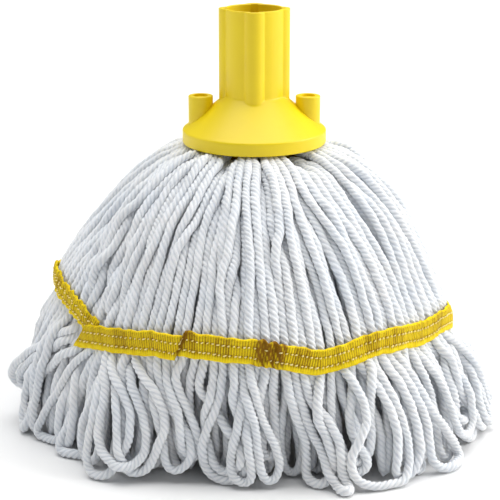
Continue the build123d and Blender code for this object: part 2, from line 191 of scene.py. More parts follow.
def layout(rng):
    """Every strand's first line: loops through the tape, then inner loops. Returns a list of dicts."""
    slot = 360.0 / N_LEGS
    legs = []
    for name, pts in HERO.items():
        legs.append((pts[0][0] % 360, name, 0))
        legs.append((pts[-1][0] % 360, name, 1))
    legs.sort()
    hero_phi = np.array([q[0] for q in legs])
    free = [k for k in range(N_LEGS) if np.abs((hero_phi - k * slot + 180) % 360 - 180).min() > 0.5 * slot]
    loops = []
    jitter = rng.uniform(-0.12, 0.12, N_LEGS) * slot
    layer = np.array([0, 1, 2, 1, 0, 2] * 40)[:N_LEGS]
    swap = rng.permutation(N_LEGS // 3)
    for g in swap[:25]:
        layer[3 * g:3 * g + 3] = rng.permutation(3)
    order = {(name, end): i for i, (_, name, end) in enumerate(legs)}
    n1, n2, n3 = rng.uniform(0, 6.28, 12), rng.uniform(0, 6.28, 12), rng.uniform(0.4, 1.0, 12)

    def drift(phi, u):
        """Neighbouring strands wander together, in bunches, so that gaps open between them."""
        a = np.radians(phi)
        w = 0
        for q, (m, f) in enumerate(((7, 1.0), (11, 1.6), (17, 1.3), (23, 2.1), (31, 1.1), (41, 1.8))):
            w = w + n3[q] * np.sin(m * a + n1[q] + 1.5 * np.sin(f * 3.1 * u + n2[q])) / (1 + 0.25 * q)
        return w * np.sin(np.pi * np.clip(u, 0, 1)) ** 0.8

    def leg(k, phi_t=None):
        """Skirt part of a strand, from the collar down to the tape."""
        if phi_t is None:
            phi_t = (k % N_LEGS) * slot + jitter[k % N_LEGS]
        u = np.linspace(0, 1, 40)
        warp = 9.0 * np.exp(-((phi_t - 302) / 16.0) ** 2) + 2.5 * np.sin(np.radians(3 * phi_t))
        phi_c = phi_t - warp + rng.normal(0, 1.3)
        phi = phi_c + (phi_t - phi_c) * smooth(u * 1.05)
        r_here = np.interp(u, PROF_U, PROFILE[:, 0])
        phi = phi + np.degrees(1.35 * drift(phi, u) / r_here)
        own = rng.uniform(-1, 1, 3)
        phi = phi + np.degrees((own[0] * 1.9 * np.sin(2.2 * np.pi * u + own[1] * 3) * np.sin(np.pi * u)) / r_here)
        lay = layer[k % N_LEGS]
        depth = lay * 4.6 * (1 - smooth((u - 0.05) / 0.9)) + own[2] * 1.9 * np.sin(np.pi * u)
        depth = np.maximum(depth, -0.6)
        P = skirt_point(phi, u, depth)
        # from under the flange: level out of the clamp, then over the edge
        zc = COLLAR_Z[lay]
        near = (1 - smooth((u - 0.02) / 0.16))
        P[:, 2] = P[:, 2] * (1 - near) + np.minimum(P[:, 2], zc) * near
        start = polar(phi_c, np.array([27.0, 31.0, 35.0]), zc)
        keep = np.hypot(P[:, 0], P[:, 1]) > 37.0
        return np.vstack([start, P[keep][:-2]]), phi_t

    def gate(phi, down):
        """Points that lead a strand straight through behind the tape."""
        z, r = float(tape_z(phi)), float(tape_r(phi)) - TAPE_T - YARN_R - 0.1
        zs = [z + 5.4, z, z - 5.6]
        P = np.array([polar(phi, r, q) for q in zs])
        return P if down else P[::-1]

    for name in HERO:
        H = np.array(HERO[name], float)
        A, pa = leg(order[(name, 0)], H[0, 0])
        B, pb = leg(order[(name, 1)], H[-1, 0])
        n = len(H)
        body = np.array([polar(p, r, z) for p, r, z in H[1:-1]])
        top = min(tape_z(pa), tape_z(pb))
        loops.append(dict(name=name, hero=True, P=np.vstack([A, gate(pa, True), body, gate(pb, False), B[::-1]]),
                          body=(len(A) + 3, len(A) + 3 + len(body)), phi=(pa + pb) / 2, pa=pa, pb=pb))
    # the rest: neighbours joined in pairs, nested or interleaved
    groups, run = [], []
    for k in free:
        if run and k - run[-1] > 3:
            groups.append(run); run = []
        run.append(k)
    groups.append(run)
    pairs = []
    for run in groups:
        i = 0
        while i < len(run):
            left = len(run) - i
            kind = rng.integers(0, 4)
            if left >= 4 and kind == 0:
                pairs += [(run[i], run[i + 3]), (run[i + 1], run[i + 2])]; i += 4
            elif left >= 4 and kind in (1, 3):
                pairs += [(run[i], run[i + 2]), (run[i + 1], run[i + 3])]; i += 4
            elif left >= 2:
                pairs.append((run[i], run[i + 1])); i += 2
            else:
                pairs.append((run[i], run[i])); i += 1
    front_lo, front_hi = 209, 340
    for q, (ka, kb) in enumerate(pairs):
        if ka == kb:
            continue
        A, pa = leg(ka)
        B, pb = leg(kb)
        mid = (pa + pb) / 2 + rng.normal(0, 1.6)
        behind = front_lo < mid < front_hi
        depth = rng.uniform(4.5, 7.0) if behind else [0.0, 0.3, 5.0, 2.4][rng.integers(0, 4)] + rng.uniform(0, 1.0)
        zb = rng.uniform(2.4, 6.0) if rng.random() < 0.6 else rng.uniform(6, 16)
        w = np.clip(abs(pb - pa) * 1.85 * rng.uniform(0.8, 1.3), 8.0, 21.0)       # mm across the U
        hw = np.degrees(w / 2 / 122.0)
        sway = rng.normal(0, 2.3)
        body = []
        for side, p0 in ((-1, pa), (1, pb)):
            line = []
            ztop = float(tape_z(p0)) - 9
            for t in (0.18, 0.4, 0.64, 0.86):
                z = ztop + (zb + w / 2 - ztop) * t
                phi = p0 + (mid + side * hw - p0) * smooth(t) + sway * np.sin(np.pi * t) + rng.normal(0, 0.5)
                rr = fringe_r(phi, z) - YARN_R - depth * smooth(t * 2) - rng.uniform(0, 0.8)
                line.append(polar(phi, rr, z))
            body.append(line)
        rb = float(fringe_r(mid, zb)) - YARN_R - depth
        out = rng.uniform(-1.0, 3.0)
        bottom = [polar(mid - hw * 0.72, rb + out * 0.6, zb + w * 0.16), polar(mid, rb + out, zb), polar(mid + hw * 0.72, rb + out * 0.6, zb + w * 0.16)]
        body = np.array(body[0] + bottom + body[1][::-1])
        loops.append(dict(name="n%02d" % q, hero=False, P=np.vstack([A, gate(pa, True), body, gate(pb, False), B[::-1]]),
                          body=(len(A) + 3, len(A) + 3 + len(body)), phi=mid, pa=pa, pb=pb))
    # inner loops, behind the others, not held by the tape
    n_in = 96
    for q in range(n_in):
        phi = q * 360.0 / n_in + rng.uniform(-1.5, 1.5)
        gapw = rng.uniform(1.8, 3.3)
        deep = q % 3
        legs2 = []
        depth_end = 5.2 + 4.7 * deep + rng.uniform(0, 1.0)
        for side in (-1, 1):
            u = np.linspace(0, 1, 30)
            ph = phi + side * gapw * (0.6 + 0.4 * u) + rng.normal(0, 0.8) * np.sin(np.pi * u)
            P = skirt_point(ph, u, 9.6 * (1 - smooth(u)) + depth_end * smooth(u))
            near = 1 - smooth((u - 0.02) / 0.16)
            P[:, 2] = P[:, 2] * (1 - near) + np.minimum(P[:, 2], INNER_Z) * near
            start = polar(phi + side * gapw * 0.6, np.array([31.0, 36.0, 38.5]), np.array([INNER_Z + 2.6, INNER_Z + 1.5, INNER_Z - 1.0]))
            keep = np.hypot(P[:, 0], P[:, 1]) > 41.0
            legs2.append((np.vstack([start, P[keep][:-1]]), ph[-1]))
        zb = rng.uniform(2.3, 5.0)
        body = []
        for side, (P, p0) in zip((-1, 1), legs2):
            line = []
            for t in (0.25, 0.5, 0.78):
                z = float(tape_z(p0)) - 6 + (zb + 9 - float(tape_z(p0)) + 6) * t
                pp = p0 + rng.normal(0, 1.0)
                line.append(polar(pp, fringe_r(pp, z) - YARN_R - depth_end - 3.0 * t, z))
            body.append(line)
        rb = float(fringe_r(phi, zb)) - YARN_R - depth_end - rng.uniform(1, 7)
        bottom = [polar(phi, rb, zb)]
        P = np.vstack([legs2[0][0], np.array(body[0] + bottom + body[1][::-1]), legs2[1][0][::-1]])
        loops.append(dict(name="in%02d" % q, hero=False, inner=True, P=P, body=(0, 0), phi=phi, pa=phi, pb=phi))
    return loops


def relax(loops, rounds):
    """Settles the strands: fixed length, bending, contact, floor, and a pull to where each was laid."""
    X, strand, w, pull, first = [], [], [], [], []
    for i, L in enumerate(loops):
        dense = catmull(L["P"], 8)
        P = resample(dense, STEP)
        first.append(sum(len(x) for x in X))
        X.append(P)
        strand.append(np.full(len(P), i))
        r = np.hypot(P[:, 0], P[:, 1])
        phi = np.degrees(np.arctan2(P[:, 1], P[:, 0]))
        free = np.ones(len(P))
        free[r < 39.0] = 0
        inner = L.get("inner", False)
        if inner:
            free[r < 42.0] = 0
        below = P[:, 2] < tape_z(phi) - 6
        k = np.where(below, 0.05 if L["hero"] else 0.018, 0.02 if not inner else 0.03)
        if not inner:
            k = np.where(np.abs(P[:, 2] - tape_z(phi)) < 5.0, 0.05, k)
        w.append(free)
        pull.append(k)
    n_of = [len(x) for x in X]
    X, strand, w, pull = map(np.concatenate, (X, strand, w, pull))
    T = X.copy()
    n = len(X)
    same = strand[1:] == strand[:-1]
    L0 = np.linalg.norm(X[1:] - X[:-1], axis=1)
    same2 = strand[2:] == strand[:-2]
    idx = np.arange(n)
    below = X[:, 2] < tape_z(np.degrees(np.arctan2(X[:, 1], X[:, 0]))) - 6
    grav = np.where(below, 0.035, 0.0) * w
    dmin = 2 * YARN_R * 0.93
    cell = dmin + 1.0
    pairs = None
    off = np.array([(a, b, c) for a in (-1, 0, 1) for b in (-1, 0, 1) for c in (-1, 0, 1)
                    if (a, b, c) > (0, 0, 0) or (a, b, c) == (0, 0, 0)])

    def find(X):
        g = np.floor(X / cell).astype(np.int64) + 512
        key = (g[:, 0] << 40) + (g[:, 1] << 20) + g[:, 2]
        order = np.argsort(key, kind="stable")
        ks = key[order]
        I, J = [], []
        for o in off:
            q = key + (int(o[0]) << 40) + (int(o[1]) << 20) + int(o[2])
            lo = np.searchsorted(ks, q, "left")
            hi = np.searchsorted(ks, q, "right")
            cnt = hi - lo
            src = np.repeat(idx, cnt)
            base = np.repeat(lo - np.append(0, np.cumsum(cnt)[:-1]), cnt)
            dst = order[base + np.arange(len(src))]
            if not o.any():
                m = src < dst
                src, dst = src[m], dst[m]
            I.append(src); J.append(dst)
        I, J = np.concatenate(I), np.concatenate(J)
        m = ~((strand[I] == strand[J]) & (np.abs(I - J) < 6))
        m &= (w[I] + w[J]) > 0
        I, J = I[m], J[m]
        d = X[I] - X[J]
        m = (d * d).sum(1) < cell * cell
        return I[m], J[m]

    for it in range(rounds):
        if it % 4 == 0:
            I, J = find(X)
            wi, wj = w[I], w[J]
        X = X + (T - X) * (pull * w)[:, None]
        X[:, 2] -= grav
        for _ in range(2):
            # lengths
            d = X[1:] - X[:-1]
            ln = np.linalg.norm(d, axis=1) + 1e-9
            c = (np.where(same, (ln - L0) / ln, 0.0) * 0.5)[:, None] * d
            X[:-1] += c * w[:-1, None]
            X[1:] -= c * w[1:, None]
            # bending
            m = (X[2:] + X[:-2]) / 2 - X[1:-1]
            m = np.where(same2[:, None], m, 0.0) * 0.22
            X[1:-1] += m * w[1:-1, None]
            X[2:] -= 0.5 * m * w[2:, None]
            X[:-2] -= 0.5 * m * w[:-2, None]
        # contact
        d = X[I] - X[J]
        ln = np.linalg.norm(d, axis=1) + 1e-9
        pen = np.clip(dmin - ln, 0, None)
        tot = wi + wj
        c = (pen / ln / np.maximum(tot, 1) * 0.55)[:, None] * d
        for k in range(3):
            X[:, k] += np.bincount(I, c[:, k] * wi, n) - np.bincount(J, c[:, k] * wj, n)
        # floor, and nothing past the tape from inside
        X[:, 2] = np.maximum(X[:, 2], YARN_R + 0.1)
        r = np.hypot(X[:, 0], X[:, 1])
        # the tape holds every strand in
        phi = np.degrees(np.arctan2(X[:, 1], X[:, 0]))
        lim = tape_r(phi) - TAPE_T - YARN_R + 0.25
        over = (np.abs(X[:, 2] - tape_z(phi)) < 6.8) & (r > lim)
        f = np.where(over, lim / r, 1.0)
        X[:, 0] *= f
        X[:, 1] *= f
        # nothing into the flange or the clamp plate
        near = (r < 41) & (X[:, 2] > 151.2 - YARN_R) & (w > 0)
        X[near, 2] = np.minimum(X[near, 2], 151.4 - YARN_R)
    out, i = [], 0
    for m in n_of:
        out.append(X[i:i + m]); i += m
    return out


LOBES = 4


def tube(lines, ring_step, sides, seed):
    """Twisted four-ply yarn round each line: vertices, faces and uv (its first coordinate runs round the plies, for the
    painted shade in their creases), all strands in one.
    """
    rng = np.random.default_rng(seed)
    V, F, UV, base = [], [], [], 0
    delta = np.linspace(0, 2 * np.pi, sides, endpoint=False)
    q = (delta % (2 * np.pi / LOBES)) - np.pi / LOBES
    # crowns at 0, creases between
    rel = np.abs(((delta + np.pi / LOBES) % (2 * np.pi / LOBES)) - np.pi / LOBES)
    dd, aa = YARN_R - PLY_R, PLY_R
    rad = dd * np.cos(rel) + np.sqrt(np.maximum(aa ** 2 - (dd * np.sin(rel)) ** 2, 0))
    for P in lines:
        P = P.copy()
        for _ in range(2):
            P[1:-1] += 0.35 * ((P[2:] + P[:-2]) / 2 - P[1:-1])
        C = resample(catmull(P, 6), ring_step)
        m = len(C)
        T = np.gradient(C, axis=0)
        T /= np.linalg.norm(T, axis=1)[:, None] + 1e-12
        N = np.zeros_like(C)
        ref = np.array([0, 0, 1.0]) if abs(T[0, 2]) < 0.9 else np.array([1.0, 0, 0])
        N[0] = np.cross(T[0], ref)
        N[0] /= np.linalg.norm(N[0])
        for i in range(1, m):
            v = C[i] - C[i - 1]
            c1 = v @ v + 1e-12
            rl = N[i - 1] - (2 / c1) * (v @ N[i - 1]) * v
            tl = T[i - 1] - (2 / c1) * (v @ T[i - 1]) * v
            v2 = T[i] - tl
            c2 = v2 @ v2 + 1e-12
            nn = rl - (2 / c2) * (v2 @ rl) * v2
            nn -= (nn @ T[i]) * T[i]
            N[i] = nn / (np.linalg.norm(nn) + 1e-12)
        B = np.cross(T, N)
        s = np.arange(m) * ring_step
        pitch = PITCH * rng.uniform(0.92, 1.2)
        phase = -2 * np.pi * s / pitch + rng.uniform(0, 6.28) + 0.5 * np.sin(s / rng.uniform(14, 30) + rng.uniform(0, 6)) + 0.25 * np.sin(s / rng.uniform(5, 9))
        ang = delta[None, :] + phase[:, None]
        fat = rng.uniform(0.93, 1.05) + 0.04 * np.sin(s / rng.uniform(5, 9) + rng.uniform(0, 6)) + 0.04 * np.sin(s / rng.uniform(17, 29) + rng.uniform(0, 6))
        ply = 1 + 0.06 * np.sin(delta[None, :] + rng.uniform(0, 6) + s[:, None] / 31.0) + rng.normal(0, 0.012, (m, sides))
        R = rad[None, :] * fat[:, None] * ply
        ring = C[:, None, :] + R[:, :, None] * (np.cos(ang)[:, :, None] * N[:, None, :] + np.sin(ang)[:, :, None] * B[:, None, :])
        # round the cut ends off inside the collar
        ring[0] = C[0] + (ring[0] - C[0]) * 0.3
        ring[-1] = C[-1] + (ring[-1] - C[-1]) * 0.3
        V.append(ring.reshape(-1, 3))
        i = np.arange(m - 1)[:, None] * sides
        j = np.arange(sides)[None, :]
        j2 = (j + 1) % sides
        quad = np.stack([i + j, i + j2, i + sides + j2, i + sides + j], -1).reshape(-1, 4) + base
        u0 = np.broadcast_to(j / sides * LOBES, (m - 1, sides))
        u1 = np.broadcast_to((j + 1) / sides * LOBES, (m - 1, sides))
        s0 = np.broadcast_to(s[:-1, None] / PITCH, (m - 1, sides))
        s1 = np.broadcast_to(s[1:, None] / PITCH, (m - 1, sides))
        off = rng.uniform(0, 50)
        uv = np.stack([np.stack([u0, s0 + off], -1), np.stack([u1, s0 + off], -1), np.stack([u1, s1 + off], -1), np.stack([u0, s1 + off], -1)], 2)
        UV.append(uv.reshape(-1, 2))
        F.append(quad)
        F.append(np.array([list(range(sides))[::-1]]).reshape(1, -1) + base if False else np.zeros((0, 4), int))
        base += m * sides
    return np.vstack(V), np.vstack([f for f in F if len(f)]), np.vstack(UV)


def mesh_object(name, V, F, UV=None, smooth_shade=True):
    me = bpy.data.meshes.new(name)
    V = np.asarray(V, np.float32) * MM
    F = np.asarray(F, np.int32)
    me.vertices.add(len(V))
    me.vertices.foreach_set("co", V.ravel())
    k = F.shape[1]
    me.loops.add(F.size)
    me.loops.foreach_set("vertex_index", F.ravel())
    me.polygons.add(len(F))
    me.polygons.foreach_set("loop_start", np.arange(len(F), dtype=np.int32) * k)
    me.polygons.foreach_set("loop_total", np.full(len(F), k, np.int32))
    me.update(calc_edges=True)
    if UV is not None:
        layer = me.uv_layers.new(name="UVMap")
        layer.data.foreach_set("uv", np.asarray(UV, np.float32).ravel())
    me.polygons.foreach_set("use_smooth", np.full(len(F), smooth_shade))
    me.validate()
    me.update()
    ob = bpy.data.objects.new(name, me)
    bpy.context.scene.collection.objects.link(ob)
    return ob


# --------------------------------------------------------------- materials
def nodes_of(name):
    m = bpy.data.materials.new(name)
    m.use_nodes = True
    nt = m.node_tree
    bsdf = nt.nodes["Principled BSDF"]
    return m, nt, bsdf


def link(nt, a, b):
    nt.links.new(a, b)


def add(nt, kind, **kw):
    n = nt.nodes.new(kind)
    for k, v in kw.items():
        setattr(n, k, v)
    return n


def yarn_material():
    m, nt, bsdf = nodes_of("cotton_yarn")
    uv = add(nt, "ShaderNodeUVMap", uv_map="UVMap")
    mp = add(nt, "ShaderNodeMapping")
    mp.inputs["Scale"].default_value = (7.0, 2.2, 1.0)
    link(nt, uv.outputs["UV"], mp.inputs["Vector"])
    fibre = add(nt, "ShaderNodeTexNoise")
    fibre.inputs["Scale"].default_value = 2.4
    fibre.inputs["Detail"].default_value = 4.0
    fibre.inputs["Roughness"].default_value = 0.65
    link(nt, mp.outputs["Vector"], fibre.inputs["Vector"])
    geo = add(nt, "ShaderNodeTexCoord")
    blot = add(nt, "ShaderNodeTexNoise")
    blot.inputs["Scale"].default_value = 45.0
    blot.inputs["Detail"].default_value = 3.0
    link(nt, geo.outputs["Object"], blot.inputs["Vector"])
    ramp = add(nt, "ShaderNodeValToRGB")
    ramp.color_ramp.elements[0].position = 0.25
    ramp.color_ramp.elements[0].color = (0.78, 0.80, 0.83, 1)
    ramp.color_ramp.elements[1].position = 0.62
    ramp.color_ramp.elements[1].color = (0.95, 0.955, 0.965, 1)
    link(nt, fibre.outputs["Fac"], ramp.inputs["Fac"])
    tint = add(nt, "ShaderNodeValToRGB")
    tint.color_ramp.elements[0].position = 0.3
    tint.color_ramp.elements[0].color = (0.92, 0.945, 0.975, 1)
    tint.color_ramp.elements[1].position = 0.7
    tint.color_ramp.elements[1].color = (1.0, 0.995, 0.985, 1)
    link(nt, blot.outputs["Fac"], tint.inputs["Fac"])
    mul = add(nt, "ShaderNodeMix", data_type="RGBA", blend_type="MULTIPLY")
    mul.inputs[0].default_value = 1.0
    link(nt, ramp.outputs["Color"], mul.inputs[6])
    link(nt, tint.outputs["Color"], mul.inputs[7])
    # shade in the hollows between plies
    sep = add(nt, "ShaderNodeSeparateXYZ")
    link(nt, uv.outputs["UV"], sep.inputs[0])
    fr = add(nt, "ShaderNodeMath", operation="FRACT")
    link(nt, sep.outputs["X"], fr.inputs[0])
    crease = add(nt, "ShaderNodeValToRGB")
    el = crease.color_ramp.elements
    el[0].position, el[0].color = 0.16, (1, 1, 1, 1)
    el[1].position, el[1].color = 0.84, (1, 1, 1, 1)
    mid = el.new(0.5)
    mid.color = (0.84, 0.86, 0.885, 1)
    crease.color_ramp.interpolation = "EASE"
    link(nt, fr.outputs[0], crease.inputs["Fac"])
    mul2 = add(nt, "ShaderNodeMix", data_type="RGBA", blend_type="MULTIPLY")
    mul2.inputs[0].default_value = 1.0
    link(nt, mul.outputs[2], mul2.inputs[6])
    link(nt, crease.outputs["Color"], mul2.inputs[7])
    link(nt, mul2.outputs[2], bsdf.inputs["Base Color"])
    bump = add(nt, "ShaderNodeBump")
    bump.inputs["Strength"].default_value = 0.5
    bump.inputs["Distance"].default_value = 0.0005
    link(nt, fibre.outputs["Fac"], bump.inputs["Height"])
    link(nt, bump.outputs["Normal"], bsdf.inputs["Normal"])
    bsdf.inputs["Roughness"].default_value = 0.92
    bsdf.inputs["Specular IOR Level"].default_value = 0.18
    bsdf.inputs["Sheen Weight"].default_value = 0.35
    bsdf.inputs["Sheen Roughness"].default_value = 0.5
    bsdf.inputs["Subsurface Weight"].default_value = 0.35
    bsdf.inputs["Subsurface Radius"].default_value = (1.0, 0.95, 0.9)
    bsdf.inputs["Subsurface Scale"].default_value = 0.0022
    return m


def plastic_material():
    m, nt, bsdf = nodes_of("yellow_plastic")
    geo = add(nt, "ShaderNodeTexCoord")
    n1 = add(nt, "ShaderNodeTexNoise")
    n1.inputs["Scale"].default_value = 38.0
    n1.inputs["Detail"].default_value = 3.0
    link(nt, geo.outputs["Object"], n1.inputs["Vector"])
    ramp = add(nt, "ShaderNodeValToRGB")
    ramp.color_ramp.elements[0].position = 0.3
    ramp.color_ramp.elements[0].color = (0.86, 0.64, 0.001, 1)
    ramp.color_ramp.elements[1].position = 0.72
    ramp.color_ramp.elements[1].color = (0.91, 0.70, 0.002, 1)
    link(nt, n1.outputs["Fac"], ramp.inputs["Fac"])
    link(nt, ramp.outputs["Color"], bsdf.inputs["Base Color"])
    # fine moulded grain, and draw lines up the walls
    mp = add(nt, "ShaderNodeMapping")
    mp.inputs["Scale"].default_value = (900.0, 900.0, 40.0)
    link(nt, geo.outputs["Object"], mp.inputs["Vector"])
    grain = add(nt, "ShaderNodeTexNoise")
    grain.inputs["Scale"].default_value = 1.0
    grain.inputs["Detail"].default_value = 2.0
    link(nt, mp.outputs["Vector"], grain.inputs["Vector"])
    bump = add(nt, "ShaderNodeBump")
    bump.inputs["Strength"].default_value = 0.12
    bump.inputs["Distance"].default_value = 0.0002
    link(nt, grain.outputs["Fac"], bump.inputs["Height"])
    link(nt, bump.outputs["Normal"], bsdf.inputs["Normal"])
    rr = add(nt, "ShaderNodeMapRange")
    rr.inputs["To Min"].default_value = 0.34
    rr.inputs["To Max"].default_value = 0.5
    link(nt, n1.outputs["Fac"], rr.inputs["Value"])
    link(nt, rr.outputs["Result"], bsdf.inputs["Roughness"])
    bsdf.inputs["Subsurface Weight"].default_value = 0.0
    return m


def tape_material():
    m, nt, bsdf = nodes_of("yellow_tape")
    att = add(nt, "ShaderNodeAttribute", attribute_name="painted_shade_and_tone")
    geo = add(nt, "ShaderNodeTexCoord")
    n1 = add(nt, "ShaderNodeTexNoise")
    n1.inputs["Scale"].default_value = 420.0
    n1.inputs["Detail"].default_value = 2.0
    link(nt, geo.outputs["Object"], n1.inputs["Vector"])
    ramp = add(nt, "ShaderNodeValToRGB")
    ramp.color_ramp.elements[0].position = 0.3
    ramp.color_ramp.elements[0].color = (0.86, 0.60, 0.004, 1)
    ramp.color_ramp.elements[1].position = 0.65
    ramp.color_ramp.elements[1].color = (0.97, 0.76, 0.012, 1)
    link(nt, n1.outputs["Fac"], ramp.inputs["Fac"])
    # painted shade: the attribute mixes in a dark amber where the tape is gathered, along the tuck, between the weave
    # beads and in the stitch grooves, with some random tone along the tape
    mix = add(nt, "ShaderNodeMix", data_type="RGBA", blend_type="MIX")
    link(nt, att.outputs["Fac"], mix.inputs[0])
    link(nt, ramp.outputs["Color"], mix.inputs[6])
    mix.inputs[7].default_value = (0.23, 0.105, 0.001, 1)
    link(nt, mix.outputs[2], bsdf.inputs["Base Color"])
    bump = add(nt, "ShaderNodeBump")
    bump.inputs["Strength"].default_value = 0.5
    bump.inputs["Distance"].default_value = 0.0003
    link(nt, n1.outputs["Fac"], bump.inputs["Height"])
    link(nt, bump.outputs["Normal"], bsdf.inputs["Normal"])
    bsdf.inputs["Roughness"].default_value = 0.62
    bsdf.inputs["Specular IOR Level"].default_value = 0.15
    return m


def thread_material():
    m, nt, bsdf = nodes_of("yellow_thread")
    geo = add(nt, "ShaderNodeTexCoord")
    n1 = add(nt, "ShaderNodeTexNoise")
    n1.inputs["Scale"].default_value = 900.0
    link(nt, geo.outputs["Object"], n1.inputs["Vector"])
    ramp = add(nt, "ShaderNodeValToRGB")
    ramp.color_ramp.elements[0].color = (0.90, 0.72, 0.12, 1)
    ramp.color_ramp.elements[1].color = (1.0, 0.93, 0.55, 1)
    link(nt, n1.outputs["Fac"], ramp.inputs["Fac"])
    link(nt, ramp.outputs["Color"], bsdf.inputs["Base Color"])
    bsdf.inputs["Roughness"].default_value = 0.3
    return m


MAT_YARN, MAT_PLASTIC, MAT_TAPE, MAT_THREAD = yarn_material(), plastic_material(), tape_material(), thread_material()
for n in ("socket_body", "clamp_plate", "clamp_pins"):
    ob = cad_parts[n]
    for s in ob.material_slots:
        s.material = MAT_PLASTIC

# --------------------------------------------------------------------- yarn
import time
t0 = time.time()
loops = layout(np.random.default_rng(11))
lines = relax(loops, 320)
print("relaxed", len(lines), "strands", sum(len(x) for x in lines), "points in", round(time.time() - t0, 1), "s")

SECTORS = ["right", "back_right", "back", "back_left", "left", "front_left", "front", "front_right"]
ring_step = 1.0
sides = 16
inner_lines = [x for x, L in zip(lines, loops) if L.get("inner")]
for s, name in enumerate(SECTORS):
    mine = [x for x, L in zip(lines, loops) if not L.get("inner") and int(((L["phi"] + 22.5) % 360) // 45) == s]
    V, F, UV = tube(mine, ring_step, sides, 100 + s)
    ob = mesh_object("yarn_loops_" + name, V, F, UV)
    ob.data.materials.append(MAT_YARN)
    phis = np.arange(s * 45 - 24, s * 45 + 25, 1.0)
    low = float(tape_z(phis).min()) - TAPE_W / 2 - 1.0
    a = math.radians(s * 45)
    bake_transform(ob)
    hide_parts("skirt_" + name, "fringe_" + name)
quarter = ["right", "back", "left", "front"]
inner_phi = [L["phi"] for L in loops if L.get("inner")]
for s, name in enumerate(quarter):
    mine = [x for x, p in zip(inner_lines, inner_phi) if int(((p + 45) % 360) // 90) == s]
    V, F, UV = tube(mine, ring_step * 1.5, 12, 300 + s)
    ob = mesh_object("yarn_inner_strands_" + name, V, F, UV)
    ob.data.materials.append(MAT_YARN)
    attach(ob, "head")
    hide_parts("inner_yarn", "yarn_collar")

# ---------------------------------------------------------------- banding tape
# the ribbon's middle line as it was wrapped: from the cut end at the front left, once round, and under itself
TAPE_PATH = [(208, 107.8, 62.2), (211, 107.7, 63.0), (215, 107.5, 63.9), (219, 107.3, 65.0), (230, 107.0, 68.0), (244, 106.7, 71.4),
             (250, 106.6, 72.4), (257, 106.6, 72.6), (269, 106.7, 71.2), (278, 106.8, 68.0), (287, 107.0, 63.9), (292, 107.0, 64.4),
             (297, 107.0, 66.6), (306, 107.0, 68.7), (315, 107.0, 67.7), (323, 107.2, 65.5), (329, 107.6, 65.2), (335, 108.1, 65.2), (342, 108.8, 63.4),
             (350, 109.1, 59.8), (360, 108.3, 55.5), (370, 107.2, 51.5), (380, 106.6, 50.5), (395, 106.2, 52.0), (410, 106.0, 55.0), (430, 106.0, 60.0), (455, 106.0, 64.5),
             (480, 106.0, 66.5), (505, 106.5, 67.5), (520, 107.2, 69.5), (530, 108.0, 73.5), (538, 108.6, 78.5), (545, 108.9, 81.5), (552, 108.9, 82.0), (559, 108.6, 80.9),
             (565, 108.2, 79.0), (571, 107.9, 76.0), (576, 107.6, 73.0), (580, 107.3, 70.0), (584, 107.1, 67.0)]
TP = np.array(TAPE_PATH, float)
T_PHI = np.arange(203.0, 584.0, 0.25)
kern = np.hanning(23)
kern /= kern.sum()


def soft(v):
    pad = np.concatenate([np.full(11, v[0]), v, np.full(11, v[-1])])
    return np.convolve(pad, kern, "valid")


T_R = soft(np.interp(T_PHI, TP[:, 0], TP[:, 1]))
T_Z = soft(np.interp(T_PHI, TP[:, 0], TP[:, 2]))
T_S = np.append(0, np.cumsum(np.hypot(np.diff(np.radians(T_PHI)) * 106.8, np.diff(T_Z))))
T_SLOPE = np.gradient(T_Z, T_S)
FOLD = 249.6


def wob(x, seed, waves):
    r = np.random.default_rng(seed)
    out = 0
    for lam, amp in waves:
        out = out + amp * np.sin(2 * np.pi * x / lam + r.uniform(0, 6.28))
    return out


def bell(x, c, w):
    return np.exp(-((x - c) / w) ** 2)


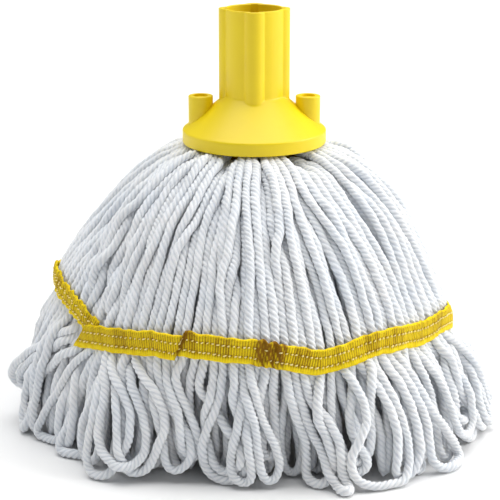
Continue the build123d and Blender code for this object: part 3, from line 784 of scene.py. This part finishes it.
def tape_surface(phi, v, h):
    """A place on the ribbon: angle along it, v mm up its width, h mm off its inner face."""
    sarc = np.interp(phi, T_PHI, T_S)
    sl = np.interp(phi, T_PHI, T_SLOPE)
    ca = 1 / np.sqrt(1 + sl * sl)
    sa = sl * ca
    up = v / (TAPE_W / 2)
    left = smooth((phi - 532.0) / 12.0)
    wide = 1 - 0.14 * left - 0.12 * smooth((phi - 572.0) / 7.0) - 0.03 * bell(phi, 274.0, 4.0)
    edge = (wob(sarc, 5, ((7.0, 0.16), (11.0, 0.2), (19.0, 0.22))) + left * wob(sarc, 6, ((4.6, 0.45), (7.7, 0.5)))) * smooth(up) \
        + wob(sarc, 8, ((9.0, 0.1), (23.0, 0.18))) * smooth(-up)
    edge = edge + smooth(up) * bell(phi, 273.6, 3.6) * 1.3 * np.abs(np.sin(2 * np.pi * (phi - 270.2) / 5.6))
    vv = v * wide + edge
    lift = wob(sarc, 9, ((10.4, 0.14), (16.0, 0.17), (31.0, 0.2))) + wob(sarc + 3.0 * up, 10, ((5.1, 0.16), (8.3, 0.13))) * (0.4 + 0.6 * np.abs(up))
    lift = lift + left * (1 - 0.8 * smooth((phi - 574.0) / 4.0)) * (0.5 * wob(sarc - 2.5 * up, 12, ((5.3, 0.6), (8.8, 0.5))) + 0.35)
    lift = lift + 0.62 + 0.25 * up * wob(sarc, 11, ((27.0, 0.8), (44.0, 0.8)))
    # gathered place at the front
    lift = lift + bell(phi, 274.0, 3.6) * (0.35 + 0.75 * np.sin(2 * np.pi * (phi - 270.0) / 2.9 + 0.6 * up) + 0.4 * np.sin(2 * np.pi * (phi - 270.0) / 1.7 - 1.1 * up))
    # slanting tuck, the left part over the right
    fold = FOLD + 1.55 * up
    lift = lift + 1.5 * smooth((phi - fold + 9.0) / 8.4) * (phi < fold) - 0.25 * bell(phi, fold + 0.5, 0.7) * (phi >= fold)
    vv = vv - 0.95 * smooth((phi - fold + 8.0) / 7.0) * (phi < fold) + 1.0 * (1 - smooth((phi - fold) / 7.0)) * (phi >= fold)
    # the cut end lies over the other end
    lift = lift + 1.7 * (1 - smooth((phi - 211.0) / 14.0))
    z = np.interp(phi, T_PHI, T_Z) + vv * ca
    lean = 1.7 * smooth(up) * smooth((phi - 338.0) / 14.0) * (1 - smooth((phi - 520.0) / 14.0)) + 1.2 * smooth(up) * left
    r = np.interp(phi, T_PHI, T_R) - TAPE_T + np.maximum(lift, 0.05) - lean + h
    ph = phi - np.degrees(vv * sa / r)
    return polar(ph, r, z)


TAPE_FROM, TAPE_TO = 217.3, 580.5
n_s = 2100
n_v = 22
phis = np.linspace(TAPE_FROM, TAPE_TO, n_s)
vs = np.linspace(-TAPE_W / 2, TAPE_W / 2, n_v)
PH = np.repeat(phis[:, None], n_v, 1)
VV = np.repeat(vs[None, :], n_s, 0)
CUT = 6.6                                                         # the cut end slants, longest along the lower edge


def cut(phi, v):
    return phi - CUT * (1 - smooth((phi - TAPE_FROM) / 26.0)) * (0.5 - v / TAPE_W)


PHs = cut(PH, VV)
SS = np.interp(PHs, T_PHI, T_S)
rim_ = np.clip((TAPE_W / 2 - np.abs(VV)) / 0.9, 0, 1)
thick = TAPE_T * (0.35 + 0.65 * np.sqrt(1 - (1 - rim_) ** 2))
hem = smooth((VV + 3.5) / -0.9)                                   # plain strip along the lower edge
ROWS = (2.5, -2.65)
bead = np.abs(np.cos(np.pi * SS / 1.32)) * (0.45 + 0.55 * np.abs(np.cos(np.pi * (VV / 1.5 + 0.5 * np.floor(SS / 1.32)))))
weave = 0.26 * (bead - 0.5) * (1 - 0.6 * hem) * rim_
groove = -0.22 * sum(bell(VV, c, 0.5) for c in ROWS)
H_out = thick + weave + groove + 0.16 * hem * rim_
OUT = tape_surface(PHs, VV, H_out)
INN = tape_surface(PHs, VV, np.full_like(VV, 0.0))
ringv = np.concatenate([OUT, INN[:, ::-1]], 1)                    # a closed section, outside up, inside down
m = ringv.shape[1]
V = ringv.reshape(-1, 3)
i = np.arange(n_s - 1)[:, None] * m
j = np.arange(m)[None, :]
j2 = (j + 1) % m
F = np.stack([i + j, i + m + j, i + m + j2, i + j2], -1).reshape(-1, 4)
caps = []
for row in (0, n_s - 1):
    for c in range(n_v - 1):
        q = [row * m + c, row * m + c + 1, row * m + m - 2 - c, row * m + m - 1 - c]
        caps.append(q if row == 0 else q[::-1])
F = np.vstack([F, np.array(caps)])
ob = mesh_object("banding_tape_ribbon", V, F)
# painted shade, carried by the attribute: the gathered place at the front, a line along the tuck with a softer band
# beside it on the upper half, the hollows between weave beads and the stitch-row grooves; the slow wobble along the
# tape is random tone
mask = smooth((PH - 269.4) / 1.3) * (1 - smooth((PH - 277.2) / 1.3))
painted_shade_and_tone = mask * np.clip(0.66 + wob(PH + 0.3 * VV, 15, ((1.3, 0.35), (2.9, 0.3))) + 0.04 * VV, 0.15, 1.0)
painted_shade_and_tone = painted_shade_and_tone + 0.75 * bell(PH, FOLD + 1.55 * VV / (TAPE_W / 2) + 0.55, 0.6) + 0.35 * bell(PH, FOLD + 1.55 * VV / (TAPE_W / 2) + 1.6, 1.2) * smooth(VV / 5)
painted_shade_and_tone = painted_shade_and_tone + 0.95 * (1 - bead) ** 1.3 * (1 - 0.75 * hem) * rim_
painted_shade_and_tone = painted_shade_and_tone + 0.55 * sum(bell(VV, c + 0.25, 0.55) for c in ROWS) * (0.5 + 0.5 * np.cos(2 * np.pi * SS / 2.6))
painted_shade_and_tone = painted_shade_and_tone + 0.3 * np.clip(wob(SS, 16, ((5.7, 0.5), (19.1, 0.6), (47.0, 0.5))), 0, 1) * (1 - hem)
painted_shade_and_tone = np.clip(painted_shade_and_tone, 0, 1)
att = ob.data.attributes.new("painted_shade_and_tone", "FLOAT", "POINT")
vals = np.zeros((n_s, m), np.float32)
vals[:, :n_v] = painted_shade_and_tone
vals[:, n_v:] = painted_shade_and_tone[:, ::-1]
att.data.foreach_set("value", vals.ravel())
ob.data.materials.append(MAT_TAPE)
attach(ob, "head")
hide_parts("banding_tape")

# two rows of separate stitches
rs = np.random.default_rng(21)
V, F = [], []
nr, ns = 5, 6
for row, v0 in enumerate(ROWS):
    length = float(np.interp(TAPE_TO - 1.0, T_PHI, T_S) - np.interp(TAPE_FROM + 0.6, T_PHI, T_S))
    count = int(length / 2.6)
    for k in range(count):
        s_mid = float(np.interp(TAPE_FROM + 0.6, T_PHI, T_S)) + (k + 0.5 + 0.4 * row + rs.uniform(-0.14, 0.14)) * 2.6
        half = rs.uniform(0.45, 0.95)
        slant = 0.3 + rs.uniform(-0.14, 0.14)
        t = np.linspace(-1, 1, nr)
        ss = s_mid + t * half
        ph = np.interp(ss, T_S, T_PHI)
        ph = cut(ph, v0)
        if ph[-1] > TAPE_TO - 0.3 or (270.4 < ph[2] < 276.8 and rs.random() < 0.7):
            continue
        vv = v0 + t * slant
        rise = TAPE_T - 0.12 + 0.34 * (1 - t ** 2)
        C = tape_surface(ph, vv, rise)
        O = tape_surface(ph, vv, rise + 1.0) - C
        O /= np.linalg.norm(O, axis=1)[:, None]
        Tn = np.gradient(C, axis=0)
        Tn /= np.linalg.norm(Tn, axis=1)[:, None]
        W = np.cross(O, Tn)
        rad = 0.40 * rs.uniform(0.8, 1.15) * np.sqrt(np.clip(1.06 - t ** 2, 0.05, 1))
        a = np.linspace(0, 2 * np.pi, ns, endpoint=False)
        ring = C[:, None] + rad[:, None, None] * (np.cos(a)[None, :, None] * O[:, None] + np.sin(a)[None, :, None] * W[:, None])
        b = len(V) * nr * ns
        V.append(ring.reshape(-1, 3))
        for p in range(nr - 1):
            for q in range(ns):
                F.append((b + p * ns + q, b + p * ns + (q + 1) % ns, b + (p + 1) * ns + (q + 1) % ns, b + (p + 1) * ns + q))
        F.append((b, b + 5, b + 4, b + 3)); F.append((b, b + 3, b + 2, b + 1))
        e = b + (nr - 1) * ns
        F.append((e, e + 1, e + 2, e + 3)); F.append((e, e + 3, e + 4, e + 5))
ob = mesh_object("tape_stitches", np.vstack(V), np.array(F))
ob.data.materials.append(MAT_THREAD)
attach(ob, "head")
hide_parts("tape_stitching")

# ------------------------------------------- headband sewn round the yarn's inner end, inside the clamp
n_s, hb = 480, 7
ph = np.linspace(0, 360, n_s, endpoint=False)
zs = np.linspace(141.3, 152.7, hb)
PH = np.repeat(ph[:, None], hb, 1)
ZZ = np.repeat(zs[None, :], n_s, 0)
RO = 20.8 + 0.18 * np.sin(np.radians(PH) * 96) * np.sin((ZZ - 141) * 2.4) + 0.12 * np.sin(np.radians(PH) * 30)
RI = np.full_like(RO, 19.7)
ringv = np.concatenate([polar(PH, RO, ZZ), polar(PH, RI, ZZ)[:, ::-1]], 1)
m = ringv.shape[1]
i = np.arange(n_s)[:, None] * m
i2 = ((np.arange(n_s) + 1) % n_s)[:, None] * m
j = np.arange(m)[None, :]
j2 = (j + 1) % m
F = np.stack([i + j, i2 + j, i2 + j2, i + j2], -1).reshape(-1, 4)
ob = mesh_object("headband_ribbon", ringv.reshape(-1, 3), F)
# left at zero: no painted shade or tone on the headband
att = ob.data.attributes.new("painted_shade_and_tone", "FLOAT", "POINT")
ob.data.materials.append(MAT_TAPE)
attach(ob, "head")
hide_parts("yarn_headband")

# -------------------------------------------------------------- floor, light
me = bpy.data.meshes.new("floor")
R = 6.0
me.from_pydata([(-R, -R, 0), (R, -R, 0), (R, R, 0), (-R, R, 0)], [], [(0, 1, 2, 3)])
floor = bpy.data.objects.new("floor", me)
bpy.context.scene.collection.objects.link(floor)
fm, nt, bsdf = nodes_of("pale_floor")
bsdf.inputs["Base Color"].default_value = (0.84, 0.84, 0.84, 1)
bsdf.inputs["Roughness"].default_value = 0.8
me.materials.append(fm)

world = bpy.data.worlds.new("studio")
bpy.context.scene.world = world
world.use_nodes = True
bg = world.node_tree.nodes["Background"]
bg.inputs["Color"].default_value = (0.97, 0.985, 1.0, 1)
bg.inputs["Strength"].default_value = 0.22


def sun(name, azimuth, elevation, spread, strength, color=(1, 1, 1)):
    """A broad soft light from this side and height, in degrees."""
    d = bpy.data.lights.new(name, "SUN")
    d.energy = strength
    d.angle = math.radians(spread)
    d.color = color
    o = bpy.data.objects.new(name, d)
    bpy.context.scene.collection.objects.link(o)
    a, e = math.radians(azimuth), math.radians(elevation)
    way = Vector((math.cos(a) * math.cos(e), math.sin(a) * math.cos(e), math.sin(e)))
    o.rotation_euler = way.to_track_quat("Z", "Y").to_euler()
    return o


sun("overhead", 95, 80, 60, 2.85)
sun("right", 2, 26, 50, 2.35, (1.0, 0.99, 0.97))
sun("left", 176, 20, 50, 0.4, (0.97, 0.985, 1.0))
bpy.context.scene.view_settings.view_transform = "Standard"
bpy.context.scene.view_settings.look = "None"
